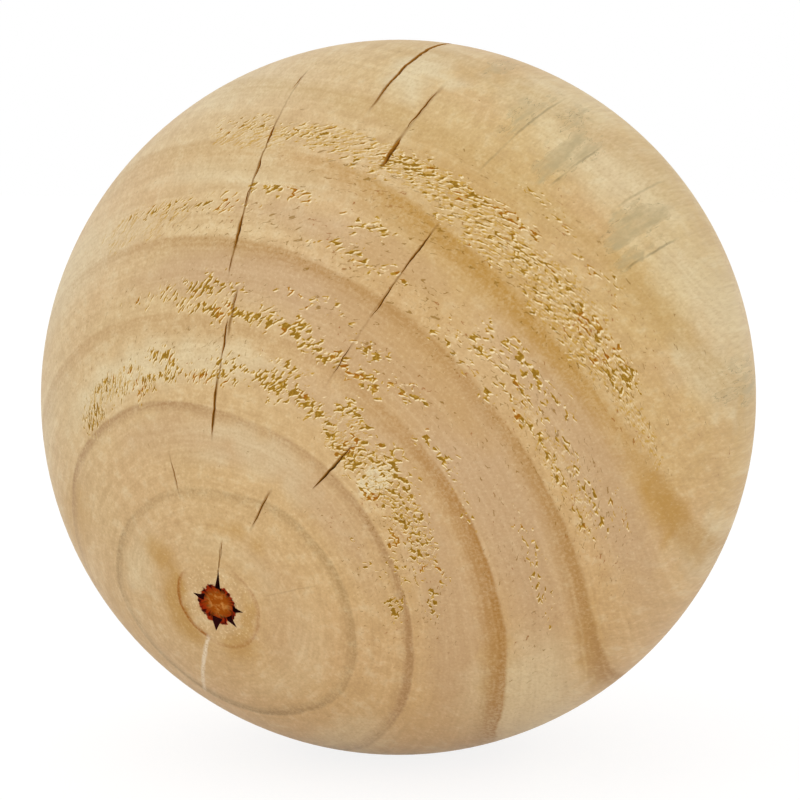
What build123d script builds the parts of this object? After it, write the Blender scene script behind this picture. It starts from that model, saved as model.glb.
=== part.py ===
from build123d import *

import os
from collections import namedtuple
from math import cos, radians, sin, sqrt

# A solid ball turned from one piece of softwood that holds the heart of the tree.
# Millimetres and degrees. The origin is the ball's centre, +Z is up and the grain runs along Y.

ball_diameter = 100.0

# The pith line runs along Y. It lies to the left of the ball's centre and below it,
# and comes out on the front and on the back.
pith_left = 10.9
pith_down = 23.2
pith_diameter = 4.6
pith_sink = 0.4

# The pith's own splits point away from it. Their inner ends stop at its sound core, this wide.
pith_core_diameter = 3.4
split_depth = 1.3

# Each check opened as the wood dried, in a plane through the pith line.
# plane: that plane's direction round the pith, from +X towards +Z
# place: where its middle is, round the circle in which the plane cuts the ball, from the front
# length: from end to end over the surface
# opening: its widest gap, at the middle
# depth: how far its floor lies below the straight line between its ends
Check = namedtuple("Check", "plane place length opening depth")

# direction: the way that the split points, as for a check's plane
# reach: from the pith line to its tip
# opening: its gap at the edge of the pith
Split = namedtuple("Split", "direction reach opening")

# The long check that climbs from the middle of the front to the top, in stretches
long_check = [
    Check(plane=85.3, place=2.4, length=7.6, opening=0.42, depth=2.2),
    Check(plane=84.7, place=12.7, length=5.6, opening=0.34, depth=1.8),
    Check(plane=83.9, place=18.3, length=3.0, opening=0.22, depth=1.0),
    Check(plane=86.4, place=24.3, length=2.9, opening=0.22, depth=1.0),
    Check(plane=86.2, place=29.7, length=5.6, opening=0.46, depth=2.2),
    Check(plane=86.4, place=35.7, length=3.8, opening=0.24, depth=1.2),
    Check(plane=86.2, place=41.0, length=4.2, opening=0.3, depth=1.5),
    Check(plane=86.3, place=47.9, length=4.2, opening=0.38, depth=1.6),
    Check(plane=86.5, place=62.0, length=4.4, opening=0.22, depth=0.9),
]

# A second row of shorter checks to the right of it
second_check = [
    Check(plane=58.5, place=-11.3, length=6.0, opening=0.24, depth=1.4),
    Check(plane=47.0, place=1.9, length=8.0, opening=0.42, depth=2.4),
    Check(plane=59.9, place=14.0, length=5.2, opening=0.2, depth=1.2),
    Check(plane=59.7, place=24.4, length=6.4, opening=0.26, depth=1.6),
    Check(plane=59.8, place=32.9, length=7.8, opening=0.32, depth=1.9),
]

# Two wide checks over the top of the ball. The lower end of one has broken out wider.
top_checks = [
    Check(plane=75.6, place=80.0, length=46.0, opening=0.62, depth=3.0),
    Check(plane=70.3, place=57.0, length=10.6, opening=0.3, depth=2.0),
    Check(plane=70.2, place=46.2, length=5.8, opening=0.8, depth=2.2),
]

small_checks = [
    Check(plane=75.0, place=-20.2, length=3.6, opening=0.18, depth=0.9),
    Check(plane=103.1, place=-3.1, length=4.6, opening=0.18, depth=0.9),
]

# The same planes open on the back, where the ball is like its front
back_checks = [
    Check(plane=85.6, place=174.0, length=9.0, opening=0.4, depth=2.2),
    Check(plane=86.2, place=150.0, length=13.0, opening=0.45, depth=2.4),
    Check(plane=60.0, place=163.0, length=8.0, opening=0.3, depth=1.8),
    Check(plane=118.0, place=158.0, length=10.0, opening=0.34, depth=2.0),
    Check(plane=20.0, place=181.0, length=6.0, opening=0.24, depth=1.4),
]

front_splits = [
    Split(direction=76.0, reach=5.0, opening=0.6),
    Split(direction=158.5, reach=3.7, opening=0.7),
    Split(direction=-12.0, reach=3.8, opening=0.7),
    Split(direction=-54.5, reach=3.8, opening=0.8),
    Split(direction=-107.0, reach=4.1, opening=1.0),
]

back_splits = [
    Split(direction=72.0, reach=4.6, opening=0.6),
    Split(direction=150.0, reach=3.8, opening=0.8),
    Split(direction=5.0, reach=3.7, opening=0.6),
    Split(direction=-66.0, reach=4.0, opening=0.9),
    Split(direction=-118.0, reach=3.6, opening=0.7),
]

# The two ends of the pith line, as the way along Y
front = -1
back = 1

# A split's cutter stands out of the surface by this factor, counted from its floor
thorn_overshoot = 1.5

# Turns the sphere so that no check crosses its seam, at the bottom, or its poles, at the sides
seam_underneath = (0, 90, 0)

# Turns the large spheres of a check's cutter so that their poles lie far outside it
poles_far_out = (90, 0, 0)

ball_radius = ball_diameter / 2
pith_radius = pith_diameter / 2
pith_point = Vector(-pith_left, 0, -pith_down)


def outward(direction):
    """The unit vector that points away from the pith line in a plane through it."""
    return Vector(cos(radians(direction)), 0, sin(radians(direction)))


def section_centre(direction):
    """The centre of the circle in which a plane through the pith line cuts the ball."""
    out = outward(direction)
    return pith_point - out * pith_point.dot(out)


def section_radius(direction):
    return sqrt(ball_radius**2 - section_centre(direction).length**2)


def surface_point(direction, distance, end):
    """The point on the ball that is this far from the pith line, at the front or back end of it."""
    flat = pith_point + outward(direction) * distance
    return Vector(flat.X, end * sqrt(ball_radius**2 - flat.X**2 - flat.Z**2), flat.Z)


def lens(radius, thickness):
    """What two large spheres share: thickest on the Z axis and sharp all round its rim."""
    wall_radius = (radius**2 + (thickness / 2) ** 2) / thickness
    wall = Sphere(wall_radius, rotation=poles_far_out)
    offset = wall_radius - thickness / 2
    return Pos(0, 0, offset) * wall & Pos(0, 0, -offset) * wall


def blade(direction, place, half_angle, opening, depth):
    """The wedge of air in a check, cut out by a lens that stands in the check's own plane."""
    cut_radius = section_radius(direction)
    chord_radius = cut_radius * cos(half_angle)
    floor_radius = chord_radius - depth
    lens_distance = (cut_radius**2 - floor_radius**2) / (2 * depth)
    lens_radius = lens_distance - floor_radius
    share_at_surface = 1 - ((lens_distance - cut_radius) / lens_radius) ** 2
    towards = Vector(0, -cos(place), 0) + outward(direction) * sin(place)
    across = Vector(-sin(radians(direction)), 0, cos(radians(direction)))
    middle = section_centre(direction) + towards * lens_distance
    return Plane(origin=middle, x_dir=towards, z_dir=across) * lens(lens_radius, opening / share_at_surface)


def check_blade(check):
    half_angle = check.length / 2 / section_radius(check.plane)
    return blade(check.plane, radians(check.place), half_angle, check.opening, check.depth)


def pith_dish(end):
    """The pith shrank more than the wood round it, so each end of it is a shallow dish."""
    middle = surface_point(0, 0, end)
    dish_radius = (pith_radius**2 + pith_sink**2) / (2 * pith_sink)
    return Pos(middle * (1 + (dish_radius - pith_sink) / ball_radius)) * Sphere(dish_radius)


def thorn(split, end):
    """A pointed split: widest and deepest at the edge of the sound pith, and sharp at its tip."""
    inner = surface_point(split.direction, pith_core_diameter / 2, end)
    tip = surface_point(split.direction, split.reach, end)
    half_gap = Vector(-sin(radians(split.direction)), 0, cos(radians(split.direction))) * split.opening / 2
    floor = inner * (1 - split_depth / ball_radius)
    corners = [inner + half_gap, inner - half_gap, tip]
    raised = [floor + (corner - floor) * thorn_overshoot for corner in corners]
    return loft([make_face(Polyline(raised, close=True)), Vertex(floor)])


def turned_ball():
    checks = long_check + second_check + top_checks + small_checks + back_checks
    ball = Sphere(ball_radius, rotation=seam_underneath)
    for end, splits in ((front, front_splits), (back, back_splits)):
        ball -= pith_dish(end)
        for split in splits:
            ball -= thorn(split, end)
    for check in checks:
        ball -= check_blade(check)
    return ball


os.makedirs("parts", exist_ok=True)
export_step(turned_ball(), "parts/ball.step")
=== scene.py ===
from collections import namedtuple
from functools import partial
from math import atan2, ceil, cos, pi, radians, sin, sqrt
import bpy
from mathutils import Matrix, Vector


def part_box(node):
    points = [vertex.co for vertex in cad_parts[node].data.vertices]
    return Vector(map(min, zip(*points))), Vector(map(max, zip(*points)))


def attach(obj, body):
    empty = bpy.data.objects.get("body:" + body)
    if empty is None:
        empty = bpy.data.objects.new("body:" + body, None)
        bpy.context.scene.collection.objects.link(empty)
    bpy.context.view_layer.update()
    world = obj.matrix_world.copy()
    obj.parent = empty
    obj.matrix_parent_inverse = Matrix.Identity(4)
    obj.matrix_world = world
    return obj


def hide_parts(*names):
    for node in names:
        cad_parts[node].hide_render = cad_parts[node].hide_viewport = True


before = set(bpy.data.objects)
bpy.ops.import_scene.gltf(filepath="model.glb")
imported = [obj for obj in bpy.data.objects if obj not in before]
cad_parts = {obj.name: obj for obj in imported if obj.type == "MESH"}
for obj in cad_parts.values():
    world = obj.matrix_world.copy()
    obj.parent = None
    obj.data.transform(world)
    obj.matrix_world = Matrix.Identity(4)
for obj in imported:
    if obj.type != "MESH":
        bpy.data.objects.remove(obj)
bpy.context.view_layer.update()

from types import SimpleNamespace

import bmesh
import bpy
import numpy as np
from bpy.props import FloatProperty, FloatVectorProperty, IntProperty, PointerProperty
from mathutils import Matrix, Vector, noise

bl_info = {
    "name": "Turned softwood ball",
    "version": (1, 0, 0),
    "blender": (4, 5, 0),
    "location": "View3D > Sidebar > Wooden ball",
    "description": "A turned pine ball with its growth rings, torn grain and drying checks",
    "category": "Add Mesh",
}

MM = 0.001


def linear(hex_colour):
    """An sRGB colour such as "#C9A77A" as linear red, green and blue."""
    shares = [int(hex_colour[i:i + 2], 16) / 255 for i in (1, 3, 5)]
    return [s / 12.92 if s <= 0.04045 else ((s + 0.055) / 1.055) ** 2.4 for s in shares]


node_low, node_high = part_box("ball")
# The CAD's facets lie a little inside the true sphere, so the ball is as large as their box allows
ball_radius_mm = min(*node_high, *(-node_low)) / MM

# The wood's own coordinates. Lengths in these are shares of the ball's radius, unless marked as mm.
# direction: degrees round the pith line, from +X towards +Z
# distance: from the pith line
# place: degrees round the circle in which a plane through the pith line cuts the ball, from the front
source_radius_mm = 50
pith_x = -10.9 / source_radius_mm
pith_z = -23.2 / source_radius_mm
pith_radius = 2.3 / source_radius_mm
pith_point = Vector((pith_x, 0, pith_z)) * ball_radius_mm

# The two ends of the pith line, as the way along Y
front = -1
back = 1

# The mesh's edge lengths in mm: on plain wood, where the grain is torn, and where it is torn most
plain_edge_mm = 1.6
torn_edge_mm = 0.5
finest_edge_mm = 0.3
# An edge is split when it is longer than is wanted by this factor
edge_tolerance = 1.35

# How far a check's cutter stands out of the surface, and the length of its steps
cutter_rise_mm = 0.5
cutter_step_mm = 0.3
# How much shallower and narrower it is than the solid's check, and half of its least width
cutter_depth_factor = 0.42
cutter_width_factor = 0.8
least_half_width_mm = 0.02
# Its floor comes out of the surface by this much at both ends
end_rise_mm = 0.08
# Its walls wander together, slowly and quickly, and its lips are uneven: how much, and how long a wave
slow_wander_mm, slow_length_mm = 0.22, 2.2
quick_wander_mm, quick_length_mm = 0.08, 0.8
lip_share, lip_length_mm = 0.45, 0.7
# Half of a split's greatest width, as a share of its opening
split_half_width_factor = 0.75

# A patch fades from its core to its edge, in shares of its spans
patch_core, patch_edge = 0.6, 1.15
# Its outline wanders by up to half of these, in direction and distance, or place for stain
patch_warp = (16, 0.075, 0)
stain_warp = (2, 10, 0)
# What turns angles round the pith line, and places, into mm over the surface
round_pith_mm = 0.8 * ball_radius_mm
from_pith_mm = 0.96 * ball_radius_mm

# The slant, width and length of a torn stroke, a scale of torn fibre and a fleck
stroke_slant = radians(-50)
stroke_mm = (0.44, 0.98)
scale_slant = radians(40)
scale_mm = (0.95, 0.50)
fleck_slant = radians(30)
fleck_mm = (0.75, 0.34)
# Where the strokes turn finer, past the fifth ring, and by how much
finer_from, finer_to, finer_by = 1.085, 1.095, 1.25
# The way towards the light, in mm to the right and up (so to the left and up), by which a pit's painted
# highlight, a pale rim on its side away from the light, is set off from it
lightward_mm = (-0.13, 0.17)

# A curve node's values end at 1, so distances are divided by this
curve_top = 1.6
stain_line_half_width = 0.0045
resin_plane = -119.5
resin_half_width = 0.0085

smoothing_angle = radians(50)
picture_width_px = 800

Ring = namedtuple("Ring", "edge inner outer colour")
Check = namedtuple("Check", "plane place length opening depth")
Split = namedtuple("Split", "direction reach opening")


def growth_ring(inner, outer, colour, *edge):
    """A ring from whole numbers: distances in thousandths of the ball's radius, strengths in percent.

    The edge is the outer one of its dark latewood, as rows of direction, distance and strength. The
    latewood fades in over `inner` and ends within `outer`."""
    rows = [(direction, distance / 1000, strength / 100) for direction, distance, strength in edge]
    return Ring(rows, inner / 1000, outer / 1000, colour)


def patches(*rows):
    """Patches from whole numbers, as for a ring: direction, distance, half of their spans, strength."""
    return [(direction, distance / 1000, turn, reach / 1000, strength / 100)
            for direction, distance, turn, reach, strength in rows]


# Growth rings, from the pith outwards
rings = [
    growth_ring(12, 6, "#96540E", (-180, 120, 90), (-160, 118, 100), (-140, 115, 100), (-122, 112, 100),
        (-112, 118, 25), (-60, 124, 45), (-20, 122, 40), (20, 118, 35), (50, 116, 25), (80, 115, 0),
        (125, 116, 10), (150, 120, 70), (180, 120, 90)),
    growth_ring(34, 10, "#98794A", (-180, 342, 50), (-150, 338, 55), (-130, 335, 70), (-100, 340, 80),
        (-70, 345, 70), (-50, 362, 60), (-35, 374, 50), (-20, 372, 50), (20, 360, 55), (50, 345, 50),
        (80, 312, 35), (110, 310, 35), (135, 318, 40), (160, 330, 60), (180, 342, 50)),
    growth_ring(34, 8, "#A37C50", (-180, 510, 40), (-150, 505, 50), (-100, 505, 50), (-50, 512, 60),
        (-20, 512, 95), (0, 506, 90), (25, 506, 80), (45, 508, 55), (65, 509, 50), (82, 514, 60),
        (92, 526, 70), (102, 540, 75), (120, 551, 75), (140, 552, 75), (158, 532, 60), (180, 510, 40)),
    growth_ring(70, 10, "#A87A3E", (-180, 760, 30), (-100, 720, 60), (-45, 716, 80), (-15, 716, 100),
        (25, 716, 95), (42, 718, 60), (60, 724, 35), (80, 738, 30), (100, 755, 30), (125, 775, 35),
        (150, 775, 40), (180, 760, 30)),
    growth_ring(55, 12, "#AB8046", (-180, 940, 40), (-60, 940, 60), (-22, 935, 90), (-8, 910, 100),
        (10, 902, 95), (35, 903, 80), (52, 912, 75), (68, 922, 75), (85, 938, 70), (105, 948, 50),
        (125, 955, 30), (180, 940, 40)),
    growth_ring(80, 22, "#B3863A", (-180, 1200, 30), (-20, 1200, 50), (0, 1170, 60), (8, 1145, 60),
        (18, 1115, 45), (28, 1098, 65), (38, 1095, 95), (48, 1105, 100), (62, 1130, 90), (76, 1160, 50),
        (95, 1180, 30), (120, 1190, 30), (180, 1200, 30)),
    growth_ring(60, 30, "#BB9654", (-180, 1360, 40), (0, 1350, 45), (25, 1320, 50), (50, 1305, 45),
        (75, 1320, 40), (100, 1350, 40), (180, 1360, 40)),
    growth_ring(50, 25, "#BB9654", (-180, 1490, 40), (40, 1480, 40), (90, 1480, 40), (180, 1490, 40)),
]

# Patches of each kind of mark: those on the front and the top, then those on the back, which is like it
marks = {
    # Where the tool tore the grain
    "torn": (patches(
        # nearest the pith, in the third and fourth rings
        (1, 473, 4, 8, 100), (12, 473, 5, 6, 55), (24, 448, 12, 6, 40), (36, 538, 4, 20, 90),
        (27, 545, 5, 12, 55), (21, 528, 4, 20, 85), (14, 522, 5, 10, 60), (3, 572, 5, 12, 100),
        (17, 574, 6, 16, 90), (24, 582, 5, 22, 90), (31, 585, 5, 20, 85), (11, 605, 5, 9, 70),
        (25, 614, 4, 14, 75), (31, 624, 5, 16, 80), (38, 626, 6, 18, 100), (41, 650, 4, 13, 70),
        (47, 570, 6, 24, 100), (44, 602, 3, 16, 60), (50, 658, 6, 18, 100), (53, 582, 4, 20, 80),
        (57, 602, 3, 12, 90), (62, 620, 5, 22, 95), (71, 620, 5, 27, 100), (70, 678, 7, 14, 50),
        (80, 632, 4, 14, 75), (82, 603, 4, 10, 60), (89, 608, 7, 12, 95), (97, 606, 7, 14, 95),
        (101, 650, 3, 11, 90), (106, 586, 4, 28, 100), (115, 602, 5, 22, 55), (119, 636, 6, 26, 50),
        (127, 590, 6, 36, 85),
        # the two long rows above them, and what trails off from their ends
        (54, 741, 5, 14, 100), (63, 748, 6, 16, 100), (71, 762, 6, 18, 100), (80, 765, 7, 19, 100),
        (89, 768, 7, 18, 100), (35, 738, 6, 12, 95), (25, 730, 6, 8, 35), (47, 777, 4, 15, 85),
        (43, 790, 2, 12, 80), (57, 797, 3, 15, 90), (56, 825, 4, 10, 45), (70, 842, 10, 10, 40),
        (90, 825, 6, 17, 100), (101, 806, 8, 15, 55), (8, 822, 12, 14, 40),
        # thin rows further out
        (45, 925, 8, 9, 45), (25, 945, 16, 11, 60), (40, 975, 10, 12, 60), (20, 985, 12, 12, 55),
        (66, 985, 8, 13, 65), (38, 1022, 9, 14, 80), (14, 1030, 6, 7, 45), (66, 1055, 6, 11, 70),
        (82, 1080, 7, 14, 70), (100, 1030, 9, 22, 45), (90, 1025, 5, 14, 45),
        # beyond the fifth ring
        (67, 1224, 4, 18, 100), (60, 1222, 4, 18, 70), (55, 1228, 5, 20, 75), (48, 1190, 5, 20, 70),
        (39, 1180, 5, 22, 75), (31, 1175, 3, 22, 95), (44, 1150, 5, 14, 50), (33, 1145, 4, 12, 60),
        (80, 1225, 6, 26, 55), (90, 1230, 6, 26, 40), (42, 1262, 5, 14, 40), (52, 1300, 4, 14, 40),
        # wide, faint patches between them
        (70, 1205, 12, 40, 36), (52, 1175, 12, 50, 36), (38, 1150, 12, 45, 32), (117, 625, 12, 40, 30),
        (98, 805, 12, 20, 40), (35, 590, 22, 60, 40)
    ), patches(
        (20, 580, 16, 40, 80), (48, 620, 12, 30, 100), (74, 610, 12, 30, 80), (-30, 600, 14, 30, 60),
        (60, 760, 14, 22, 90), (95, 780, 12, 22, 80), (30, 970, 14, 30, 60), (118, 600, 12, 35, 70),
        (-70, 300, 18, 20, 40)
    )),
    # The same, where the torn fibres lie over each other like scales
    "scaly": (patches(
        (22, 955, 18, 40, 35), (26, 1140, 8, 22, 70), (117, 625, 12, 40, 50), (38, 1150, 10, 42, 95),
        (52, 1175, 9, 45, 100), (44, 1195, 10, 34, 80), (64, 1205, 9, 38, 100), (76, 1220, 8, 34, 75),
        (88, 1200, 9, 40, 55), (105, 1000, 12, 60, 35), (30, 590, 22, 50, 50), (48, 610, 10, 60, 50)
    ), patches(
        (35, 1140, 18, 50, 90), (66, 1180, 14, 45, 90), (45, 940, 18, 40, 50), (100, 1060, 16, 50, 50)
    )),
    # Short flecks
    "flecked": (patches(
        (10, 440, 45, 70, 60), (30, 960, 40, 90, 95), (75, 980, 35, 90, 85), (20, 560, 40, 80, 80),
        (0, 780, 40, 60, 60), (60, 820, 50, 50, 70), (105, 680, 40, 60, 70), (50, 1250, 40, 100, 55),
        (80, 290, 60, 50, 35), (110, 820, 25, 60, 60), (50, 1140, 45, 80, 90)
    ), patches(
        (30, 600, 50, 100, 80), (60, 960, 60, 100, 80), (-60, 400, 60, 80, 60)
    )),
    # Paler wood
    "pale": (patches(
        (105, 640, 34, 60, 50), (70, 460, 22, 35, 35), (73.5, 1430, 4, 90, 60), (38, 575, 3, 60, 75),
        (30, 1390, 20, 80, 50), (124, 990, 22, 110, 40), (95, 1330, 16, 70, 30), (150, 750, 22, 80, 30),
        (3, 1150, 8, 70, 65), (88, 1110, 16, 35, 40), (85, 660, 16, 35, 40), (60, 170, 60, 30, 15),
        (50, 1430, 12, 70, 50), (60, 1480, 8, 60, 50), (-40, 260, 50, 60, 15), (26, 1310, 7, 70, 55),
        (-26, 780, 22, 150, 50), (-62, 480, 22, 80, 35), (170, 250, 40, 60, 30), (68, 400, 30, 20, 30)
    ), patches(
        (70, 680, 40, 60, 50)
    )),
    # Ochre wood
    "ochre": (patches(
        (-155, 140, 40, 45, 95), (170, 130, 38, 35, 90), (12, 1110, 5, 40, 95), (6, 1130, 5, 35, 60),
        (72, 228, 40, 12, 55), (50, 880, 10, 50, 40), (58, 1020, 12, 300, 28), (47, 800, 11, 120, 28),
        (-155, 400, 30, 70, 40), (142, 190, 12, 60, 80), (85, 1115, 14, 20, 30), (-75, 125, 30, 40, 70),
        (40, 840, 10, 40, 40), (160, 520, 14, 80, 50), (-30, 95, 60, 20, 60), (42, 1130, 12, 30, 50),
        (60, 1250, 12, 40, 40), (-14, 700, 16, 25, 60), (-12, 900, 16, 30, 60)
    ), patches(
        (150, 130, 60, 50, 50), (10, 350, 50, 30, 40), (70, 1080, 20, 50, 50)
    )),
    # Rosy wood, in the middle of the ball
    "rosy": (patches(
        (30, 800, 50, 100, 85), (75, 860, 34, 70, 80), (0, 610, 40, 80, 70), (60, 440, 60, 60, 60),
        (20, 1020, 28, 70, 75), (100, 480, 24, 40, 55), (50, 640, 30, 60, 50), (70, 1020, 20, 40, 60),
        (0, 200, 60, 60, 30)
    ), patches(
        (40, 820, 50, 80, 60), (80, 500, 40, 60, 50)
    )),
}

# Drying checks, as the solid has them, in mm and degrees: plane, place, length, opening, depth
checks = [Check(*values) for values in (
    (85.3, 2.4, 7.6, 0.42, 2.2), (84.7, 12.7, 5.6, 0.34, 1.8), (83.9, 18.3, 3, 0.22, 1),
    (86.4, 24.3, 2.9, 0.22, 1), (86.2, 29.7, 5.6, 0.46, 2.2), (86.4, 35.7, 3.8, 0.24, 1.2),
    (86.2, 41, 4.2, 0.3, 1.5), (86.3, 47.9, 4.2, 0.38, 1.6), (86.5, 62, 4.4, 0.22, 0.9),
    (58.5, -11.3, 6, 0.24, 1.4), (47, 1.9, 8, 0.42, 2.4), (59.9, 14, 5.2, 0.2, 1.2),
    (59.7, 24.4, 6.4, 0.26, 1.6), (59.8, 32.9, 7.8, 0.32, 1.9), (75.6, 80, 46, 0.62, 3),
    (70.3, 57, 10.6, 0.3, 2), (70.2, 46.2, 5.8, 0.8, 2.2), (75, -20.2, 3.6, 0.18, 0.9),
    (103.1, -3.1, 4.6, 0.18, 0.9), (85.6, 174, 9, 0.4, 2.2), (86.2, 150, 13, 0.45, 2.4),
    (60, 163, 8, 0.3, 1.8), (118, 158, 10, 0.34, 2), (20, 181, 6, 0.24, 1.4),
)]

# The pointed splits round each end of the pith, in mm: direction, reach, opening
front_splits = [Split(*values) for values in (
    (76, 5, 0.6), (158.5, 3.7, 0.7), (-12, 3.8, 0.7), (-54.5, 3.8, 0.8), (-107, 4.1, 1))]
back_splits = [Split(*values) for values in (
    (72, 4.6, 0.6), (150, 3.8, 0.8), (5, 3.7, 0.6), (-66, 4, 0.9), (-118, 3.6, 0.7))]

# Hairline checks, too fine to be cut, and painted shade along the lips of the ones that are:
# plane, half width, then place and strength along it
hairlines = [
    (86.25, 0.0036, [(21.5, 0), (23, 0.6), (34, 0.8), (50, 0.7), (58, 0.3), (63, 0.6), (68, 0)]),
    (86.3, 0.0066, [(26, 0), (27.5, 0.9), (30.5, 0.9), (32, 0)]),
    (85.2, 0.0046, [(-3, 0), (-1, 0.8), (6.5, 0.9), (7.5, 0)]),
    (84.8, 0.0036, [(5, 0), (8, 0.7), (10, 0.6), (14, 0.8), (16, 0)]),
    (84.1, 0.0054, [(12, 0), (14, 0.75), (19, 0.75), (20.5, 0)]),
    (58.5, 0.005, [(-14.6, 0), (-13.5, 0.8), (-9, 0.8), (-7.8, 0)]),
    (47, 0.0046, [(-3, 0), (-1, 0.7), (5, 0.9), (6.5, 0)]),
    (59.8, 0.0044, [(9, 0), (11, 0.3), (20, 0.25), (24, 0.55), (37, 0.65), (39, 0)]),
    (70.25, 0.007, [(42.5, 0), (44, 0.9), (48.5, 0.9), (51, 0.4), (60, 0.5), (67, 0)]),
    (75.6, 0.006, [(51, 0), (55, 0.6), (62, 0.9), (100, 0.8), (112, 0)]),
    (75.9, 0.003, [(-24.8, 0), (-24.4, 0.9), (-20, 0.6), (-16.5, 0)]),
    (103.1, 0.0034, [(-6.5, 0), (-5, 0.5), (-1, 0.5), (1, 0)]),
    (14, 0.0034, [(-12, 0), (-10, 0.15), (-3, 0.2), (-1, 0)]),
]

# The dried resin below the pith: place and strength along it
resin_streak = [(38, 0), (40, 0.95), (52, 0.8), (58, 0.5), (64, 0)]

# Grey stain in the sapwood, which follows the rays: direction, place, half of their spans, strength
stains = [
    (54.8, 66, 1.8, 10, 0.85), (58, 76, 0.9, 8, 0.5), (44.6, 67, 2, 10, 0.85), (42.8, 61, 1.2, 4, 0.8),
    (61.5, 70, 0.9, 12, 0.5), (68, 80, 1, 8, 0.5), (24, 84, 3, 14, 0.35), (60, 118, 1.5, 14, 0.35),
    (42, 124, 1.5, 12, 0.35), (80, 140, 1.5, 10, 0.35),
]
# The stain's thin dark lines: plane, then place and strength along it
stain_lines = [
    (41.1, [(59, 0), (60.5, 0.6), (64, 0.2), (66, 0.6), (74, 0.2), (80, 0)]),
    (60.2, [(49, 0), (53, 0.3), (58, 0.15), (64, 0.5), (76, 0.3), (84, 0)]),
    (53.4, [(57, 0), (59, 0.5), (62, 0.2), (68, 0.5), (76, 0)]),
    (47.2, [(62, 0), (66, 0.2), (78, 0.3), (86, 0)]),
]


def outward(direction):
    return Vector((cos(radians(direction)), 0, sin(radians(direction))))


def across(direction):
    return Vector((-sin(radians(direction)), 0, cos(radians(direction))))


def surface_point(direction, distance_mm, end):
    """The point on the ball, in mm, this far from the pith line at its front or back end."""
    flat = pith_point + outward(direction) * distance_mm
    return Vector((flat.x, end * sqrt(ball_radius_mm**2 - flat.x**2 - flat.z**2), flat.z))


def closeness(points):
    """How strongly the grain is torn or scaly at each point, with a margin for the patches' rough edges."""
    turn_margin, distance_margin, past_middle = 1.15, 1.25, 0.35
    x, y, z = points.T
    direction = np.degrees(np.arctan2(z - pith_z, x - pith_x))
    distance = np.hypot(x - pith_x, z - pith_z)
    best = np.zeros(len(points))
    for kind in ("torn", "scaly"):
        for side, rows in zip((front, back), marks[kind]):
            for angle, radius, angle_span, radius_span, strength in rows:
                turn = (direction - angle + 180) % 360 - 180
                turned = turn / (angle_span * turn_margin)
                gap = np.hypot(turned, (distance - radius) / (radius_span * distance_margin))
                near = (gap < 1) & (side * y > -past_middle)
                best[near] = np.maximum(best[near], strength)
    return best


def edge_length_wanted(points):
    """The mesh's edge length in mm at each point: fine where the grain is torn and at the pith."""
    torn_most, round_pith = 0.42, 2.8 * pith_radius
    wanted = np.full(len(points), plain_edge_mm)
    torn = closeness(points)
    wanted[torn > 0] = torn_edge_mm
    wanted[torn > torn_most] = finest_edge_mm
    wanted[np.hypot(points[:, 0] - pith_x, points[:, 2] - pith_z) < round_pith] = finest_edge_mm
    return wanted


def refine(bm):
    """Splits the ball's edges, up to four times over, until none is much longer than is wanted there."""
    for _ in range(4):
        bm.edges.ensure_lookup_table()
        ends = np.array([(*e.verts[0].co, *e.verts[1].co) for e in bm.edges])
        start, stop = ends[:, :3], ends[:, 3:]
        length = np.linalg.norm(stop - start, axis=1)
        middle = start + stop
        middle /= np.linalg.norm(middle, axis=1)[:, None]
        long = np.flatnonzero(length > edge_tolerance * edge_length_wanted(middle))
        if not len(long):
            break
        bmesh.ops.subdivide_edges(bm, edges=[bm.edges[i] for i in long], cuts=1, use_grid_fill=True)
        for vert in bm.verts:
            vert.co = vert.co.normalized() * ball_radius_mm
    bmesh.ops.triangulate(bm, faces=bm.faces[:])


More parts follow.
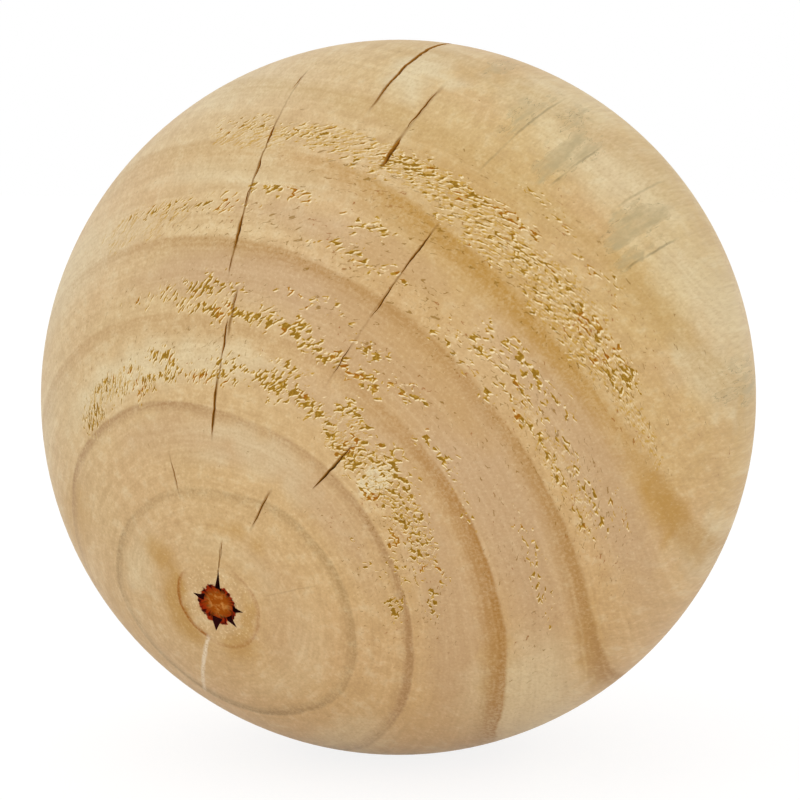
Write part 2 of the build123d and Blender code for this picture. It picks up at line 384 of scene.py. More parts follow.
def check_wedge(check, seed):
    """A wedge that follows the ball's surface, with wandering walls, sharp at its floor and both ends.

    It starts as a triangle spun along the check. Then each vertex moves to its place across it."""
    out, side = outward(check.plane), across(check.plane)
    centre = pith_point - out * pith_point.dot(out)
    cut_radius = sqrt(ball_radius_mm**2 - centre.length**2)
    half_angle = check.length / 2 / cut_radius
    steps = max(12, ceil(check.length / cutter_step_mm))
    start = radians(check.place) - half_angle
    towards = Vector((0, -cos(start), 0)) + out * sin(start)
    outer = centre + towards * (cut_radius + cutter_rise_mm)

    bm = bmesh.new()
    corners = [bm.verts.new(outer + side * half) for half in (-0.5, 0.5)]
    corners.append(bm.verts.new(centre + towards * (cut_radius - 1)))
    ring = [bm.edges.new((corners[i], corners[i - 1])) for i in range(3)]
    bmesh.ops.spin(bm, geom=corners + ring, cent=centre, axis=side, dvec=(0, 0, 0),
                   angle=2 * half_angle, steps=steps, use_duplicate=False)
    bmesh.ops.holes_fill(bm, edges=[e for e in bm.edges if e.is_boundary], sides=3)

    for vert in bm.verts:
        arm = vert.co - centre
        place = atan2(arm.dot(out), -arm.y)
        turn = (place - radians(check.place) + pi) % (2 * pi) - pi
        share = max(0.0, 1 - (turn / half_angle) ** 2)
        along = place * cut_radius
        slow = noise.noise(Vector((along / slow_length_mm, seed, 0.3)))
        quick = noise.noise(Vector((along / quick_length_mm, seed, 4.0)))
        wander = (slow * slow_wander_mm + quick * quick_wander_mm) * share**0.5
        radial = Vector((0, -cos(place), 0)) + out * sin(place)
        depth = (cutter_depth_factor * check.depth + end_rise_mm) * share - end_rise_mm
        which = arm.dot(side)
        if abs(which) < 0.1:
            vert.co = centre + radial * (cut_radius - depth) + side * wander
        else:
            uneven = noise.noise(Vector((along / lip_length_mm, seed, 9.0 if which > 0 else -9.0)))
            spread = min((cutter_rise_mm + max(depth, 0.1)) / max(depth, 0.1), 1.8)
            half = cutter_width_factor * check.opening / 2 * (0.12 + 0.88 * share)
            half = max(half * (1 + lip_share * uneven) * spread, least_half_width_mm)
            offset = half if which > 0 else -half
            vert.co = centre + radial * (cut_radius + cutter_rise_mm) + side * (offset + wander)
    bmesh.ops.recalc_face_normals(bm, faces=bm.faces[:])
    wedge = bpy.data.meshes.new("check")
    bm.to_mesh(wedge)
    bm.free()
    return wedge


def add_split(bm, split, end, core_mm, depth_mm):
    """A flattened cone, half sunk in the surface: deepest beside the sound pith and sharp at its tip."""
    inner = surface_point(split.direction, core_mm, end)
    tip = surface_point(split.direction, split.reach, end)
    axis = (tip - inner).normalized()
    side = across(split.direction)
    length = (tip - inner).length
    turned = Matrix((side, axis.cross(side), axis)).transposed().to_4x4()
    flat = Matrix.Diagonal((split_half_width_factor * split.opening / depth_mm, 1, 1, 1))
    lift = Matrix.Translation(inner + axis * length / 2)
    bmesh.ops.create_cone(bm, segments=12, cap_ends=True, radius1=depth_mm, radius2=0.0, depth=length,
                          matrix=lift @ turned @ flat)


def new_object(name, bm, scale=1.0):
    """A finished bmesh as an object at the origin, in metres."""
    bmesh.ops.scale(bm, vec=(scale, scale, scale), verts=bm.verts[:])
    mesh = bpy.data.meshes.new(name)
    bm.to_mesh(mesh)
    bm.free()
    piece = bpy.data.objects.new(name, mesh)
    bpy.context.scene.collection.objects.link(piece)
    return piece


def apply_modifiers(piece):
    """Replaces the piece's mesh by what its modifiers make of it."""
    seen = piece.evaluated_get(bpy.context.evaluated_depsgraph_get())
    mesh = bpy.data.meshes.new_from_object(seen)
    old = piece.data
    piece.modifiers.clear()
    piece.data = mesh
    bpy.data.meshes.remove(old)


# Node types and settings that many nodes share
RANGE = "MapRange"
NOISE = "TexNoise"
ADD = "Math ADD"
MULTIPLY = "Math MULTIPLY"
MULTIPLY_ADD = "Math MULTIPLY_ADD"
LENGTH = "VectorMath LENGTH"
DOT_PRODUCT = "VectorMath DOT_PRODUCT"
SMOOTH = {"interpolation_type": "SMOOTHSTEP"}
FLAT = {"noise_dimensions": "2D"}
COLOURS = {"data_type": "RGBA", "pick": 2}


def add_node(tree, kind, *inputs, pick=0, points=None, **named):
    """Adds a node, fills or links its inputs, and returns one of its outputs.

    kind: its type, with no ShaderNode in front, and for maths its operation after a space
    inputs: in order, or one dictionary by number
    points: those of a curve
    named: inputs by their capitalised names, and the node's own settings"""
    kind, _, operation = kind.partition(" ")
    node = tree.nodes.new(kind if "Node" in kind else "ShaderNode" + kind)
    if operation:
        node.operation = operation
    if inputs and isinstance(inputs[0], dict):
        sockets = inputs[0]
    else:
        sockets = dict(enumerate(inputs))
    for name, value in named.items():
        if name[0].isupper():
            sockets[name.replace("_", " ")] = value
        else:
            setattr(node, name, value)
    if points:
        curve = node.mapping.curves[0]
        while len(curve.points) < len(points):
            curve.points.new(0.5, 0.5)
        for point, place in zip(curve.points, sorted(points)):
            point.location = place
            point.handle_type = "AUTO_CLAMPED"
        node.mapping.update()
    for key, value in sockets.items():
        socket = node.inputs[key]
        if isinstance(value, bpy.types.NodeSocket):
            tree.links.new(value, socket)
        else:
            socket.default_value = (*value, 1) if socket.type == "RGBA" else value
    return node.outputs[pick] if node.outputs else None


def wood_coordinates(add, position):
    """The wood's coordinates of a point, taken up to the ball's surface, as sockets.

    A turn is an angle as a share of a whole one, with 0.5 at the front or at +X."""
    wood = SimpleNamespace(unit=add("VectorMath NORMALIZE", position))
    x, wood.y, z = add("SeparateXYZ", wood.unit).node.outputs
    wood.dx = add(ADD, x, -pith_x)
    wood.dz = add(ADD, z, -pith_z)
    arm = add("CombineXYZ", wood.dx, 0, wood.dz)
    wood.out = add("VectorMath NORMALIZE", arm)
    wood.distance = add(LENGTH, arm, pick=1)
    wood.angle = add("Math ARCTAN2", wood.dz, wood.dx)
    wood.direction = add("Math DEGREES", wood.angle)
    height = add(DOT_PRODUCT, wood.unit, wood.out, pick=1)
    wood.place = add("Math ARCTAN2", height, add(MULTIPLY, wood.y, -1))
    wood.place_degrees = add("Math DEGREES", wood.place)
    wood.turn = add(MULTIPLY_ADD, wood.angle, 1 / (2 * pi), 0.5)
    wood.place_turn = add(MULTIPLY_ADD, wood.place, 1 / (2 * pi), 0.5)
    return wood


def patches_mask(add, at, rows, depth_centre, depth_half):
    """The strongest of some soft-edged spots in the space of `at`."""
    total = None
    for u, v, u_half, v_half, strength in rows:
        scale = (1 / u_half, 1 / v_half, 1 / depth_half)
        shift = (-u / u_half, -v / v_half, -depth_centre / depth_half)
        moved = add("VectorMath MULTIPLY_ADD", at, scale, shift)
        away = add(LENGTH, moved, pick=1)
        spot = add(RANGE, away, patch_edge, patch_core, 0, strength)
        total = spot if total is None else add("Math MAXIMUM", total, spot)
    return total


def surface_masks(add, wood):
    """Where each kind of mark lies on the ball, as sockets by the name of the attribute that keeps it."""
    warp = add(NOISE, Vector=wood.unit, Scale=16, Detail=3, Roughness=0.65, pick=1)
    warp = add("VectorMath SUBTRACT", warp, (0.5, 0.5, 0.5))
    at = add("CombineXYZ", wood.direction, wood.distance, wood.y)
    at = add("VectorMath MULTIPLY_ADD", warp, patch_warp, at)
    masks = {kind: add("Math MAXIMUM", patches_mask(add, at, on_front, front, 1.5),
                       patches_mask(add, at, on_back, back, 1.3))
             for kind, (on_front, on_back) in marks.items()}
    at = add("CombineXYZ", wood.direction, wood.place_degrees, 0)
    at = add("VectorMath MULTIPLY_ADD", warp, stain_warp, at)
    masks["stained"] = patches_mask(add, at, stains, 0, 1)
    return masks


def flat_coordinates(add, wood, right=0, up=0):
    """Millimetres over the surface, to the left round the pith and away from the pith, of a point that
    lies this many mm to the right and up, as seen from the front."""
    along = add(MULTIPLY, wood.angle, round_pith_mm)
    away = add(MULTIPLY, wood.place, from_pith_mm)
    if right or up:
        more = add(DOT_PRODUCT, wood.out, (up, 0, -right), pick=1)
        along = add(ADD, along, more)
        more = add(DOT_PRODUCT, wood.out, (right, 0, up), pick=1)
        away = add(ADD, away, more)
    return add("CombineXYZ", along, away, 0)


def slanted(add, flat, slant, size_mm, finer=None):
    """Flat coordinates turned by a slant and counted in marks of this width and length."""
    at = add("VectorRotate", flat, Angle=slant, rotation_type="Z_AXIS")
    if finer:
        at = add("VectorMath SCALE", at, Scale=finer)
    width, length = size_mm
    return add("VectorMath MULTIPLY", at, (1 / width, 1 / length, 1))


def torn_pits(add, wood, flat, torn):
    """Slanting strokes, a millimetre long, that crowd together where the grain is torn most."""
    finer = add(RANGE, wood.distance, finer_from, finer_to, 1, finer_by)
    at = slanted(add, flat, stroke_slant, stroke_mm, finer)
    strokes = add(NOISE, Vector=at, Scale=1, Detail=1.3, Roughness=0.5, Distortion=0.5, **FLAT)
    threshold = add(MULTIPLY_ADD, torn, -0.23, 0.685)
    pits = add("Math SUBTRACT", strokes, threshold)
    pits = add(RANGE, pits, 0, 0.11, 0, 1)
    return add(MULTIPLY, pits, add(RANGE, torn, 0.04, 0.15, 0, 1))


def torn_scales(add, flat, scaly):
    """How deep it is between curling scales of torn fibre, a millimetre long, from 0 to about 1."""
    at = slanted(add, flat, scale_slant, scale_mm)
    stir = add(NOISE, Vector=at, Scale=0.8, Detail=2, Roughness=0.6, pick=1, **FLAT)
    at = add("VectorMath MULTIPLY_ADD", stir, (2.2, 2.2, 0), at)
    cells = add("TexVoronoi", Vector=at, Scale=1, voronoi_dimensions="2D")
    own = cells.node.outputs["Color"]
    depth = add(MULTIPLY_ADD, own, 0.35, cells)
    present = add(RANGE, add(MULTIPLY_ADD, own, 0.55, scaly), 0.6, 0.95, 0, 1)
    return add(MULTIPLY, depth, present)


def build_relief(settings):
    """Geometry nodes that sink the torn grain and the pith into the ball, never out of it."""
    tree = bpy.data.node_groups.new("Torn grain relief", "GeometryNodeTree")
    for way in ("INPUT", "OUTPUT"):
        tree.interface.new_socket("Geometry", in_out=way, socket_type="NodeSocketGeometry")
    add = partial(add_node, tree)
    geometry = add("NodeGroupInput")
    position = add("GeometryNodeInputPosition")
    wood = wood_coordinates(add, position)
    flat = flat_coordinates(add, wood)
    masks = surface_masks(add, wood)
    for name, mask in masks.items():
        geometry = add("GeometryNodeStoreNamedAttribute", geometry, Name=name, Value=mask)

    # Torn wood also lies a little lower as a whole
    depth = add(MULTIPLY, masks["torn"], 0.3 * settings.pit_depth)
    depth = add(MULTIPLY_ADD, torn_pits(add, wood, flat, masks["torn"]), settings.pit_depth, depth)
    depth = add(MULTIPLY_ADD, torn_scales(add, flat, masks["scaly"]), settings.scale_depth, depth)
    lumps = add(NOISE, Vector=wood.unit, Scale=90, Detail=2)
    dish = add(RANGE, wood.distance, 0.92 * pith_radius, 1.16 * pith_radius, 0.5 * MM, 0, **SMOOTH)
    depth = add(MULTIPLY_ADD, dish, lumps, depth)

    # Only the surface moves, not the walls of the checks
    size = add(LENGTH, position, pick=1)
    on_top = add("Math GREATER_THAN", size, (ball_radius_mm - 0.03) * MM)
    offset = add("VectorMath SCALE", wood.unit, Scale=add(MULTIPLY, depth, -1))
    add("NodeGroupOutput", add("GeometryNodeSetPosition", geometry, on_top, Offset=offset))
    return tree


def ring_mask(add, wood, ring, distance):
    """How dark one growth ring's latewood is at a point."""
    edges = [(0.5 + direction / 360, radius / curve_top) for direction, radius, _ in ring.edge]
    strengths = [(0.5 + direction / 360, strength) for direction, _, strength in ring.edge]
    edge = add("FloatCurve", 1, wood.turn, points=edges)
    past = add(MULTIPLY_ADD, edge, -curve_top, distance)
    rise = add(RANGE, past, -ring.inner, 0, 0, 1, **SMOOTH)
    fall = add(RANGE, past, 0, ring.outer, 1, 0, **SMOOTH)
    return add(MULTIPLY, add(MULTIPLY, rise, fall), add("FloatCurve", 1, wood.turn, points=strengths))


def line_mask(add, wood, plane, along, half_width, wander):
    """A thin line where a plane through the pith line meets the ball, with its strength by place."""
    cosine, sine = cos(radians(plane)), sin(radians(plane))
    off = add(MULTIPLY_ADD, wood.dz, cosine, add(MULTIPLY, wood.dx, -sine))
    off = add("Math ABSOLUTE", add(ADD, off, wander))
    thin = add(RANGE, off, half_width, 0.25 * half_width, 0, 1)
    reach = add(MULTIPLY_ADD, wood.dz, sine, add(MULTIPLY, wood.dx, cosine))
    this_side = add("Math GREATER_THAN", reach, 0)
    points = [(0, 0), *((0.5 + place / 360, share) for place, share in along), (1, 0)]
    strength = add("FloatCurve", 1, wood.place_turn, points=points)
    return add(MULTIPLY, add(MULTIPLY, thin, strength), this_side)


def stain_layers(add, wood, stained, streaks, colours):
    """Grey stain in ragged streaks along the rays, with thin dark edges."""
    ray_at = add("CombineXYZ", add(MULTIPLY, wood.direction, 0.85),
                 add(MULTIPLY, wood.place_degrees, 0.07), 0)
    rays = add(NOISE, Vector=ray_at, Scale=1, Detail=3, Roughness=0.6, **FLAT)
    ragged = add(MULTIPLY_ADD, stained, 0.3, rays)
    body = add(RANGE, ragged, 0.53, 0.78, 0, 0.8)
    body = add(MULTIPLY, body, add(RANGE, streaks, 0.62, 0.42, 0.55, 1))
    rim = add(RANGE, add("Math COMPARE", ragged, 0.585, 0.006), 0, 1, 0, 0.55)
    inside = add(RANGE, stained, 0.05, 0.2, 0, 1)
    return [(add(MULTIPLY, body, inside), colours.stain), (add(MULTIPLY, rim, inside), colours.stain_edge)]


def torn_layers(add, wood, masks, fibres, colours):
    """Torn grain: olive and orange-brown pits with painted highlights, pale rims on their sides away from
    the light, and painted shade in their floors, scales with painted light and shade, and flecks. Gives the
    flecks too.
    """
    flat = flat_coordinates(add, wood)
    lightward = flat_coordinates(add, wood, *lightward_mm)
    hue = add(NOISE, Vector=wood.unit, Scale=13, Detail=2)
    hue = add(RANGE, hue, 0.55, 0.62, 0, 1)
    # The pits' floor colour: painted shade, or in places orange where resin stains them
    pit_shade_and_resin = add("Mix", {0: hue, 6: colours.pit_floor_shade, 7: colours.pit_orange}, **COLOURS)
    # Painted light and shade on the scales: how much deeper they lie towards the light than here
    scale_light_and_shade = add("Math SUBTRACT", torn_scales(add, lightward, masks["scaly"]),
                torn_scales(add, flat, masks["scaly"]))
    # Painted highlights: a pale rim on each pit's side away from the light
    lit_rims = torn_pits(add, wood, lightward, masks["torn"])
    pits = torn_pits(add, wood, flat, masks["torn"])
    # Painted shade: the strongest, deepest pits are darker in their floors
    floors = add(MULTIPLY, pits, add(RANGE, fibres, 0.35, 0.6, 0.55, 1.15))

    # Flecks: short broken fibres, too small to be cut into the mesh
    fleck_at = slanted(add, flat, fleck_slant, fleck_mm)
    flecks = add(NOISE, Vector=fleck_at, Scale=1, Detail=1.5, Distortion=0.8, **FLAT)
    flecks = add("Math SUBTRACT", flecks, add(MULTIPLY_ADD, masks["flecked"], -0.14, 0.78))
    # Painted light and shade: scale sides facing the light pale as highlights, their other sides olive as
    # shade, pale rims as highlights beside the pits, and painted shade in the pits' floors
    layers = [
        (add(RANGE, scale_light_and_shade, 0.1, 0.45, 0, 0.45), colours.fibre_end_and_highlight),
        (add(RANGE, scale_light_and_shade, -0.04, -0.3, 0, 0.75), colours.pit_olive_and_shade),
        (add(RANGE, lit_rims, 0.05, 0.5, 0, 0.8), colours.fibre_end_and_highlight),
        (add(RANGE, pits, 0, 0.3, 0, 1), colours.pit_olive_and_shade),
        (add(RANGE, floors, 0.25, 0.9, 0, 0.9), pit_shade_and_resin),
        (add(RANGE, flecks, 0, 0.07, 0, 0.7), pit_shade_and_resin),
    ]
    return layers, flecks


def line_layers(add, wood, fibres, colours):
    """Hairline checks with painted shade along the lips of the cut ones, the stain's dark lines and the
    streak of dried, crumbling resin.
    """
    wander = add(NOISE, Vector=wood.unit, Scale=22, Detail=2)
    wander = add(MULTIPLY_ADD, wander, 0.008, -0.004)
    layers = [(line_mask(add, wood, plane, along, half_width, wander), colours.hairline_and_lip_shade)
              for plane, half_width, along in hairlines]
    layers += [(line_mask(add, wood, plane, along, stain_line_half_width, wander), colours.stain_edge)
               for plane, along in stain_lines]
    resin = line_mask(add, wood, resin_plane, resin_streak, resin_half_width, wander)
    crumbled = add(RANGE, fibres, 0.6, 0.5, 0.35, 1)
    return layers + [(add(MULTIPLY, resin, crumbled), colours.resin)]


def pith_layers(add, wood, fibres, colours):
    """The pith: corky orange-brown with a dark, blotchy rim, and pale crumbs in the first year's wood."""
    crumbs = add(NOISE, Vector=wood.unit, Scale=60, Detail=3)
    first_year = add(RANGE, wood.distance, 0.112, 0.1, 0, 1)
    specks = add(RANGE, fibres, 0.42, 0.32, 0, 0.45)
    away = add(MULTIPLY_ADD, crumbs, 0.03, wood.distance)
    whole = add(RANGE, away, 1.22 * pith_radius + 0.017, 1.22 * pith_radius + 0.013, 0, 1)
    core = add(RANGE, away, 1.02 * pith_radius + 0.015, 0.55 * pith_radius + 0.015, 0, 1)
    blot_at = add("CombineXYZ", add(MULTIPLY, wood.turn, 34),
                  add(MULTIPLY, wood.distance, 60), 0)
    blots = add(NOISE, Vector=blot_at, Scale=1, Detail=1, **FLAT)
    blots = add(RANGE, blots, 0.42, 0.58, 0, 0.95)
    rim = add("Mix", {0: blots, 6: colours.pith_rim, 7: colours.dark_pith_and_split_shade}, **COLOURS)
    cork = add(RANGE, crumbs, 0.46, 0.62, 0, 1)
    cork = add("Mix", {0: cork, 6: colours.pith, 7: colours.pith_light}, **COLOURS)
    return [(add(MULTIPLY, first_year, specks), colours.fibre_end_and_highlight), (whole, rim), (core, cork)]


def wandering_distance(add, wood):
    """The distance from the pith line, made to wander a little for the rings, and more on the back."""
    small = add(NOISE, Vector=wood.unit, Scale=7, Detail=4, Roughness=0.6)
    slow = add(NOISE, Vector=wood.unit, Scale=1.4, Detail=1)
    behind = add(RANGE, wood.y, 0, 0.7, 0, 0.16, **SMOOTH)
    slow = add(MULTIPLY, add(ADD, slow, -0.5), behind)
    distance = add(MULTIPLY_ADD, small, 0.016, wood.distance)
    return add(ADD, add(ADD, distance, -0.008), slow)


def empty_nodes(owner):
    """Gives a material or world an empty node tree, and returns what adds nodes to it."""
    owner.use_nodes = True
    owner.node_tree.nodes.clear()
    return partial(add_node, owner.node_tree)


def pine_material(colours):
    """Bare turned pine: matt, with dark latewood rings, tan earlywood and olive torn grain.

    The rings, the pith and the checks follow the pith line through the solid, so end grain shows on the
    front and the back, and long grain on the sides. The colour is built up in layers, each a mask and
    a colour. A range node's numbers are where its effect starts and is full, then both its strengths."""
    material = bpy.data.materials.new("Bare pine, turned and sanded")
    add = empty_nodes(material)
    wood = wood_coordinates(add, add("TexCoord", pick=3))
    unit = wood.unit
    masks = {name: add("Attribute", pick=2, attribute_name=name) for name in (*marks, "stained")}

    # Broad tone, partly painted light: lighter and creamier towards the top and left as painted light,
    # darker and warmer underneath as painted shade, with slow blotches of the wood's own tone
    blotch = add(NOISE, Vector=unit, Scale=2.6, Detail=4)
    height = add(DOT_PRODUCT, unit, (-0.5, -0.1, 0.75), pick=1)
    height = add(MULTIPLY_ADD, blotch, 1, height)
    top = add(RANGE, height, -0.3, 1.5, 0, 1, **SMOOTH)
    colour = add("Mix", {0: top, 6: colours.tan_and_under_shade, 7: colours.cream_and_top_light}, **COLOURS)
    right = add(DOT_PRODUCT, unit, (0.75, 0.2, 0.55), pick=1)

    # Fibres: a third of a millimetre wide and long along Y, so they are specks on the end grain
    fibre_at = add("VectorMath MULTIPLY", unit, (150, 7, 150))
    fibres = add(NOISE, Vector=fibre_at, Scale=1, Detail=3, Roughness=0.6)
    streak_at = add("VectorMath MULTIPLY", unit, (30, 2, 30))
    streaks = add(NOISE, Vector=streak_at, Scale=1, Detail=4, Roughness=0.65)

    # Finer growth lines, half a millimetre apart, run beside the rings
    distance = wandering_distance(add, wood)
    line_at = add("CombineXYZ", add(MULTIPLY, distance, 95), add(MULTIPLY, wood.angle, 2.2), wood.y)
    growth = add(NOISE, Vector=line_at, Scale=1, Detail=3, Roughness=0.6)

    layers = [
        (add(RANGE, right, 0.15, 0.95, 0, 0.75, **SMOOTH), colours.yellow),
        (add(RANGE, blotch, 0.48, 0.66, 0, 0.45), colours.pink),
        (add(RANGE, streaks, 0.44, 0.7, 0, 0.35), colours.latewood),
        (add(RANGE, streaks, 0.48, 0.3, 0, 0.3), colours.cream),
        (masks["rosy"], colours.rosy),
        (masks["pale"], colours.cream),
        (masks["ochre"], colours.ochre),
        (add(RANGE, fibres, 0.5, 0.75, 0, 0.35), colours.latewood),
        (add(RANGE, fibres, 0.45, 0.25, 0, 0.25), colours.fibre_end_and_highlight),
        (add(RANGE, growth, 0.45, 0.72, 0, 0.2), colours.latewood),
        (add(RANGE, growth, 0.45, 0.25, 0, 0.12), colours.fibre_end_and_highlight),
    ]
    uneven = add(RANGE, add(MULTIPLY_ADD, growth, 0.5, fibres), 0.6, 0.88, 0.55, 1)
    layers += [(add(MULTIPLY, ring_mask(add, wood, ring, distance), uneven), linear(ring.colour))
               for ring in rings]
    layers += stain_layers(add, wood, masks["stained"], streaks, colours)
    torn, flecks = torn_layers(add, wood, masks, fibres, colours)
    layers += torn
    layers += line_layers(add, wood, fibres, colours)
    layers += pith_layers(add, wood, fibres, colours)
    for mask, tint in layers:
        colour = add("Mix", {0: mask, 6: colour, 7: tint}, **COLOURS)

    # Pits, cork and stained lines are hollow, so the darker the wood, the less it shines
    green = add("SeparateColor", colour, pick=1)
    gloss = add(RANGE, green, 0.1, 0.3, 0, 0.3)
    sheen = add(RANGE, green, 0.1, 0.3, 0, 0.2)

    # Relief too fine for the mesh: the ends of fibres, and flecks
    relief = add(ADD, add(MULTIPLY, fibres, 0.05), add(RANGE, flecks, 0, 0.07, 0, -0.05))
    bump = add("Bump", Strength=0.6, Distance=MM, Height=relief)
    shader = add("BsdfPrincipled", Base_Color=colour, Roughness=0.6, Normal=bump, IOR=1.5,
                 Specular_IOR_Level=gloss, Sheen_Weight=sheen, Sheen_Roughness=0.4,
                 Sheen_Tint=(1, 0.93, 0.8))
    add("OutputMaterial", shader)
    return material


def check_material(colours):
    """The walls of a drying check: raw wood, darkened towards the floor by painted shade, and nearly black
    at the pith as painted shade in the pith's splits.
    """
    material = bpy.data.materials.new("Pine, wall of a drying check")
    add = empty_nodes(material)
    position = add("TexCoord", pick=3)
    wood = wood_coordinates(add, position)
    size = add(LENGTH, position, pick=1)
    # Painted shade: the walls darken with depth, from the lip to the floor, unevenly along the fibres
    deep = add(RANGE, size, ball_radius_mm * MM, (ball_radius_mm - 1.6) * MM, 0, 1)
    fibre_at = add("VectorMath MULTIPLY", position, (2500, 150, 2500))
    fibres = add(NOISE, Vector=fibre_at, Scale=1, Detail=2)
    deep = add(ADD, add(MULTIPLY_ADD, fibres, 0.5, deep), -0.25, use_clamp=True)
    colour = add("Mix", {0: deep, 6: colours.check_edge, 7: colours.check_floor_shade}, **COLOURS)
    # Painted shade: nearly black in and beside the pith's splits
    at_pith = add(RANGE, wood.distance, 0.16, 0.11, 0, 1)
    colour = add("Mix", {0: at_pith, 6: colour, 7: colours.dark_pith_and_split_shade}, **COLOURS)
    shader = add("BsdfPrincipled", Base_Color=colour, Roughness=0.85, IOR=1.5, Specular_IOR_Level=0.1)
    add("OutputMaterial", shader)
    return material


def seen_directly(add):
    """1 for the rays that show the paper or the room itself, not its light on the ball."""
    path = add("LightPath").node.outputs
    seen = add("Math MAXIMUM", path["Is Camera Ray"], path["Is Glossy Ray"])
    return add("Math MAXIMUM", seen, path["Is Transmission Ray"])


def stage_material(colour, fill):
    """Matt paper: white to the camera, with only part of its light taken from the lamps, so that the
    ball's shadow stays soft and pale on it."""
    material = bpy.data.materials.new("White paper sweep, matt")
    add = empty_nodes(material)
    paper = add("BsdfDiffuse", colour)
    taken = 1.35 * (1 - fill)
    bright = add("AddShader", add("BsdfDiffuse", (taken, taken, taken)), add("Emission", (1, 1, 1), fill))
    add("OutputMaterial", add("MixShader", seen_directly(add), paper, bright))
    return material


def swatch(name, description, hex_colour):
    return FloatVectorProperty(name=name, description=description, subtype="COLOR", size=3, min=0.0, max=1.0,
                               default=linear(hex_colour))


def measure(name, description, default, **settings):
    return FloatProperty(name=name, description=description, default=default, **settings)


def depth_of(name, description, depth_mm):
    return measure(name, description, depth_mm * MM, unit="LENGTH", precision=5)


class BallSettings(bpy.types.PropertyGroup):
    subdivisions: IntProperty(name="Subdivisions", description="Of the ball's first, even mesh", default=6,
                              min=2, max=7)
    pit_depth: depth_of("Pit depth", "How deep the torn grain's pits are", 0.12)
    scale_depth: depth_of("Scale depth", "How deep the creases between torn scales are", 0.16)
    split_depth: depth_of("Split depth", "How deep the pith's splits are", 1.3)


class WoodColours(bpy.types.PropertyGroup):
    # These two carry painted light: the cream is mixed in towards the top and left as painted light, and the
    # tan left underneath is painted shade
    cream_and_top_light: swatch("Cream, painted top light", "Mixed in towards the top and left as painted light", "#D6BA8A")
    tan_and_under_shade: swatch("Tan, painted under shade", "The warmer tan left underneath as painted shade", "#CFA974")
    yellow: swatch("Yellow sapwood", "The wood on the right", "#CDAC68")
    pink: swatch("Pinkish blotches", "The slow blotches in the tan wood", "#D0A878")
    cream: swatch("Cream", "Paler wood between two rings", "#E2D4AE")
    ochre: swatch("Ochre", "The warmer patches", "#BC9048")
    latewood: swatch("Latewood", "Fibres and streaks between the rings", "#A98350")
    rosy: swatch("Rosy wood", "The pinkish wood in the middle", "#C2A078")
    stain: swatch("Stain", "Grey streaks in the sapwood", "#AE9A6E")
    stain_edge: swatch("Stain edge", "The stain's thin dark edges", "#7C6C40")
    # Fibre ends also paint the highlights of pits and scales; the olive also paints the scales' shaded
    # sides, and the pit floors are painted shade
    fibre_end_and_highlight: swatch("Fibre ends", "Pale torn fibres", "#F2DDB0")
    pit_olive_and_shade: swatch("Olive pits", "Most of the torn pits", "#BE922E")
    pit_orange: swatch("Orange pits", "The resin-stained pits", "#9C5A14")
    pit_floor_shade: swatch("Pit floors", "The deepest part of the torn pits", "#8C6618")
    # Painted shade: hairlines also darken the lips of cut checks, the check floor darkens their depth, and
    # the split walls' near black is shade in the pith's splits as well as the pith rim's own dark blots
    hairline_and_lip_shade: swatch("Hairlines", "Checks too fine to be cut", "#7E5412")
    check_edge: swatch("Check edge", "The lips of the checks", "#BC842C")
    check_floor_shade: swatch("Check floor", "The depth of the checks", "#7C5012")
    dark_pith_and_split_shade: swatch("Split walls", "The depth of the pith's splits", "#35090A")
    resin: swatch("Resin", "The dried streak below the pith", "#E8D6B8")
    pith: swatch("Pith", "The pith's cork", "#9A4C10")
    pith_light: swatch("Pale pith", "Lighter crumbs in the pith", "#C07C34")
    pith_rim: swatch("Pith rim", "The dark rim of the pith", "#922A0C")


class StageSettings(bpy.types.PropertyGroup):
    azimuth: measure("Azimuth", "Camera, from -Y towards +X", radians(17.5), subtype="ANGLE")
    elevation: measure("Elevation", "Camera, above the horizon", radians(5.4), subtype="ANGLE")
    distance: measure("Distance", "From the ball's centre to the camera", 0.4, unit="LENGTH")
    lens: measure("Lens", "Focal length on a 36 mm sensor", 127.8)
    world_light: measure("World light", "Strength of the light from all round", 0.89)
    top_light: measure("Top light", "Power of the soft box above the ball, in watts", 1.05)
    fill_light: measure("Fill light", "Power of the low soft box in front, in watts", 1.2)
    shadow_fill: measure("Shadow fill", "Share of the paper's brightness that no shadow takes away", 0.85,
                         subtype="FACTOR", min=0.0, max=1.0)
    paper: swatch("Paper", "The floor as it lights the ball", "#F4F2EE")


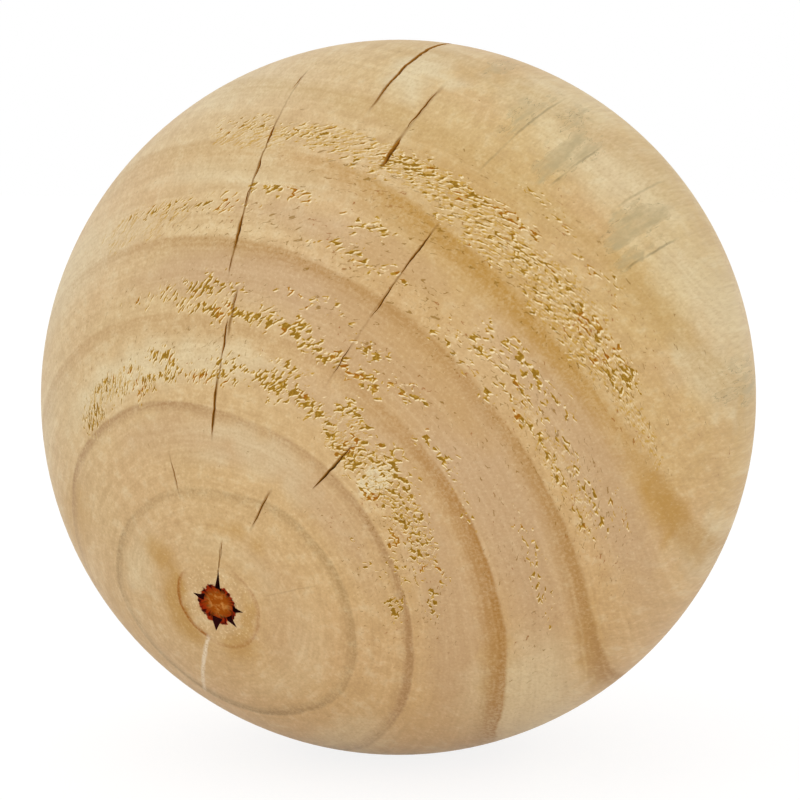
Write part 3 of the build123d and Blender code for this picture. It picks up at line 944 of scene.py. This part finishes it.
class WOODBALL_OT_turn(bpy.types.Operator):
    """Turns the ball, tears its grain, opens its checks and gives it its wood"""
    bl_idname = "wooden_ball.turn"
    bl_label = "Turn the ball"

    def execute(self, context):
        settings = context.scene.wooden_ball
        bm = bmesh.new()
        bmesh.ops.create_icosphere(bm, subdivisions=settings.subdivisions, radius=ball_radius_mm)
        refine(bm)
        ball = new_object("turned_ball", bm, MM)

        cuts = bmesh.new()
        for seed, check in enumerate(checks):
            wedge = check_wedge(check, seed * 7.31 + 1.7)
            cuts.from_mesh(wedge)
            bpy.data.meshes.remove(wedge)
        core_mm = pith_radius * ball_radius_mm * 0.92
        for end, splits in ((front, front_splits), (back, back_splits)):
            for split in splits:
                add_split(cuts, split, end, core_mm, settings.split_depth / MM)
        bmesh.ops.recalc_face_normals(cuts, faces=cuts.faces[:])
        cutter = new_object("check_cutters", cuts, MM)

        walls = check_material(context.scene.wooden_ball_colours)
        ball.data.materials.append(pine_material(context.scene.wooden_ball_colours))
        ball.data.materials.append(walls)
        cutter.data.materials.append(walls)

        opened = ball.modifiers.new("Open the checks", "BOOLEAN")
        opened.operation = "DIFFERENCE"
        opened.solver = "MANIFOLD"
        opened.object = cutter
        apply_modifiers(ball)
        bpy.data.objects.remove(cutter)

        relief = ball.modifiers.new("Relief", "NODES")
        relief.node_group = build_relief(settings)
        apply_modifiers(ball)
        ball.data.polygons.foreach_set("use_smooth", [True] * len(ball.data.polygons))
        ball.data.set_sharp_from_angle(angle=smoothing_angle)

        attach(ball, "root")
        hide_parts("ball")
        return {"FINISHED"}


class WOODBALL_OT_stage(bpy.types.Operator):
    """Lays the white paper, hangs the soft light and sets up the camera"""
    bl_idname = "wooden_ball.stage"
    bl_label = "Set the stage"

    def execute(self, context):
        scene = context.scene
        stage = scene.wooden_ball_stage
        bm = bmesh.new()
        bmesh.ops.create_grid(bm, x_segments=1, y_segments=1, size=3.0)
        bmesh.ops.translate(bm, vec=(0, 0, node_low.z), verts=bm.verts[:])
        floor = new_object("paper_floor", bm)
        floor.data.materials.append(stage_material(stage.paper, stage.shadow_fill))

        world = bpy.data.worlds.new("Soft white room")
        add = empty_nodes(world)
        strength = add("Mix", {0: seen_directly(add), 2: stage.world_light, 3: 1.0})
        add("OutputWorld", add("Background", (1, 1, 1), strength))
        scene.world = world

        for name, power, size, place in (("Top soft box", stage.top_light, 0.9, (-0.40, -0.35, 0.85)),
                                         ("Fill soft box", stage.fill_light, 0.3, (0.45, -0.80, 0.10))):
            lamp = bpy.data.lights.new(name, "AREA")
            lamp.shape = "DISK"
            lamp.size = size
            lamp.energy = power
            soft_box = bpy.data.objects.new(name, lamp)
            soft_box.location = place
            soft_box.rotation_euler = (-soft_box.location).to_track_quat("-Z", "Y").to_euler()
            scene.collection.objects.link(soft_box)

        lens = bpy.data.cameras.new("Camera")
        lens.lens = stage.lens
        lens.sensor_width = 36.0
        lens.shift_x = 1.5 / picture_width_px
        lens.shift_y = -2.7 / picture_width_px
        lens.clip_start = 0.01
        camera = bpy.data.objects.new("Camera", lens)
        around, above = stage.azimuth, stage.elevation
        towards = Vector((sin(around) * cos(above), -cos(around) * cos(above), sin(above)))
        camera.location = towards * stage.distance
        camera.rotation_euler = (-towards).to_track_quat("-Z", "Y").to_euler()
        scene.collection.objects.link(camera)
        scene.camera = camera
        scene.view_settings.view_transform = "Standard"
        return {"FINISHED"}


class WOODBALL_PT_panel(bpy.types.Panel):
    bl_label = "Wooden ball"
    bl_idname = "WOODBALL_PT_panel"
    bl_space_type = "VIEW_3D"
    bl_region_type = "UI"
    bl_category = "Wooden ball"

    def draw(self, context):
        for group in ("wooden_ball", "wooden_ball_colours", "wooden_ball_stage"):
            settings = getattr(context.scene, group)
            box = self.layout.box()
            for name in settings.__annotations__:
                box.prop(settings, name)
        self.layout.operator(WOODBALL_OT_turn.bl_idname)
        self.layout.operator(WOODBALL_OT_stage.bl_idname)


classes = (BallSettings, WoodColours, StageSettings, WOODBALL_OT_turn, WOODBALL_OT_stage, WOODBALL_PT_panel)


def register():
    for cls in classes:
        bpy.utils.register_class(cls)
    bpy.types.Scene.wooden_ball = PointerProperty(type=BallSettings)
    bpy.types.Scene.wooden_ball_colours = PointerProperty(type=WoodColours)
    bpy.types.Scene.wooden_ball_stage = PointerProperty(type=StageSettings)


def unregister():
    del bpy.types.Scene.wooden_ball_stage
    del bpy.types.Scene.wooden_ball_colours
    del bpy.types.Scene.wooden_ball
    for cls in reversed(classes):
        bpy.utils.unregister_class(cls)


def main():
    register()
    bpy.ops.wooden_ball.turn()
    bpy.ops.wooden_ball.stage()


if __name__ == "__main__":
    main()
